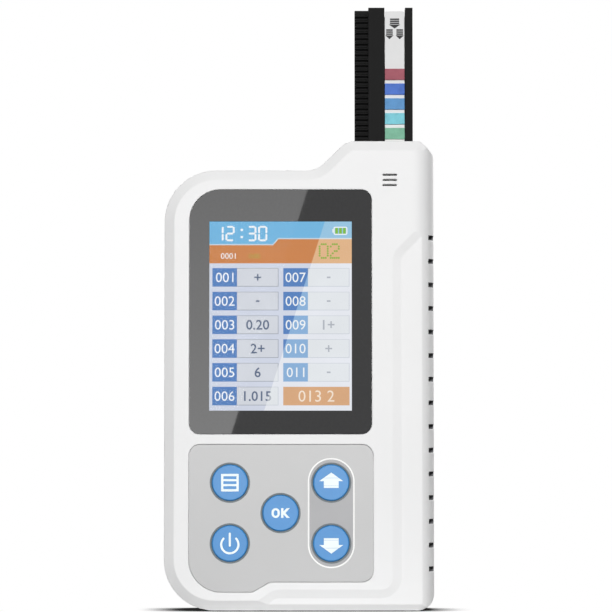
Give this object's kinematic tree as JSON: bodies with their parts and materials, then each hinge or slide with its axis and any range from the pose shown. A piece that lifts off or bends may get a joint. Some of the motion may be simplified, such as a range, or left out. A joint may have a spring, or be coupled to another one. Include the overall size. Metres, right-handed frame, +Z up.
{
  "type": "urine analyzer",
  "caption": "Hand-held urine test strip reader: white case with a colour screen, round keys, and a rack-driven strip tray that comes out of the top.",
  "frame": {"origin": "middle of the bounding box at the bottom end of the case", "axes": "+Z up along the case towards the strip tray, -Y out of the screen and keys, +X towards the grip side"},
  "size_m": [0.073, 0.03, 0.1655],
  "materials": {
    "white_abs": "satin",
    "grey_overlay": "matt",
    "blue_key": "satin",
    "black_acetal": "satin",
    "dark_lens": "gloss",
    "adhesive": "matt",
    "foam": "matt",
    "lcd_glass": "gloss",
    "steel": "satin",
    "gold_film": "gloss",
    "board_green": "gloss",
    "chip_black": "matt",
    "connector_cream": "matt",
    "cell_wrap": "gloss",
    "lead_red": "satin",
    "rubber_grey": "matt",
    "white_ceramic": "matt",
    "strip_white": "satin",
    "led_clear": "gloss",
    "brass": "satin",
    "pad_01": "matt",
    "pad_02": "matt",
    "pad_03": "matt",
    "pad_04": "matt",
    "pad_05": "matt",
    "pad_06": "matt",
    "pad_07": "matt",
    "pad_08": "matt",
    "pad_09": "matt",
    "pad_10": "matt",
    "pad_11": "matt"
  },
  "bodies": {
    "case": {"front_shell": "white_abs", "rear_shell": "white_abs", "display_lens": "dark_lens", "lens_tape": "adhesive", "lcd_gasket": "foam", "lcd_panel": "lcd_glass", "lcd_frame": "steel", "lcd_flex": "gold_film", "lcd_connector": "connector_cream", "keypad_overlay": "grey_overlay", "tact_switches": "chip_black", "main_board": "board_green", "processor_chip": "chip_black", "motor_driver_chip": "chip_black", "charger_chip": "chip_black", "usb_socket": "steel", "buzzer": "chip_black", "battery_pack": "cell_wrap", "battery_leads": "lead_red", "battery_connector": "connector_cream", "tray_guide": "black_acetal", "drive_motor": "steel", "gearbox": "brass", "motor_leads": "lead_red", "home_switch": "chip_black", "optical_head": "black_acetal", "sensor_board": "board_green", "led_emitters": "led_clear", "photodiodes": "led_clear", "sensor_ribbon": "gold_film", "ribbon_connectors": "connector_cream", "case_screws": "steel", "board_screws": "steel", "guide_screws": "steel", "sensor_screws": "steel", "rubber_feet": "rubber_grey"},
    "tray": {"strip_tray": "black_acetal", "white_tile": "white_ceramic"},
    "strip": {"test_strip": "strip_white", "reagent_pad_01": "pad_01", "reagent_pad_02": "pad_02", "reagent_pad_03": "pad_03", "reagent_pad_04": "pad_04", "reagent_pad_05": "pad_05", "reagent_pad_06": "pad_06", "reagent_pad_07": "pad_07", "reagent_pad_08": "pad_08", "reagent_pad_09": "pad_09", "reagent_pad_10": "pad_10", "reagent_pad_11": "pad_11"},
    "pinion": {"drive_pinion": "brass", "output_shaft": "steel"},
    "door": {"battery_door": "white_abs"},
    "key_menu_cap": {"key_menu": "blue_key"},
    "key_power_cap": {"key_power": "blue_key"},
    "key_ok_cap": {"key_ok": "blue_key"},
    "key_up_cap": {"key_up": "blue_key"},
    "key_down_cap": {"key_down": "blue_key"}
  },
  "joints": [
    {"name": "tray_slide", "type": "slide", "parent": "case", "child": "tray", "axis": [0, 0, 1], "range_m": [-0.03501, 0]},
    {"name": "pinion_spin", "type": "hinge", "parent": "case", "child": "pinion", "pos_m": [0.01714, -0.00265, 0.1115], "axis": [1, 0, 0], "range_deg": [-526, 0]},
    {"name": "strip_slide", "type": "slide", "parent": "tray", "child": "strip", "axis": [0, 0, 1], "range_m": [0, 0.04]},
    {"name": "door_slide", "type": "slide", "parent": "case", "child": "door", "axis": [0, 0, 1], "range_m": [-0.012, 0]},
    {"name": "key_menu_press", "type": "slide", "parent": "case", "child": "key_menu_cap", "axis": [0, 1, 0], "range_m": [0, 0.0004], "stiffness_N_per_m": 1500},
    {"name": "key_power_press", "type": "slide", "parent": "case", "child": "key_power_cap", "axis": [0, 1, 0], "range_m": [0, 0.0004], "stiffness_N_per_m": 1500},
    {"name": "key_ok_press", "type": "slide", "parent": "case", "child": "key_ok_cap", "axis": [0, 1, 0], "range_m": [0, 0.0004], "stiffness_N_per_m": 1500},
    {"name": "key_up_press", "type": "slide", "parent": "case", "child": "key_up_cap", "axis": [0, 1, 0], "range_m": [0, 0.0004], "stiffness_N_per_m": 1500},
    {"name": "key_down_press", "type": "slide", "parent": "case", "child": "key_down_cap", "axis": [0, 1, 0], "range_m": [0, 0.0004], "stiffness_N_per_m": 1500}
  ],
  "couplings": [
    {"joint": "pinion_spin", "follows": "tray_slide", "rad_per_m": 261.8}
  ]
}
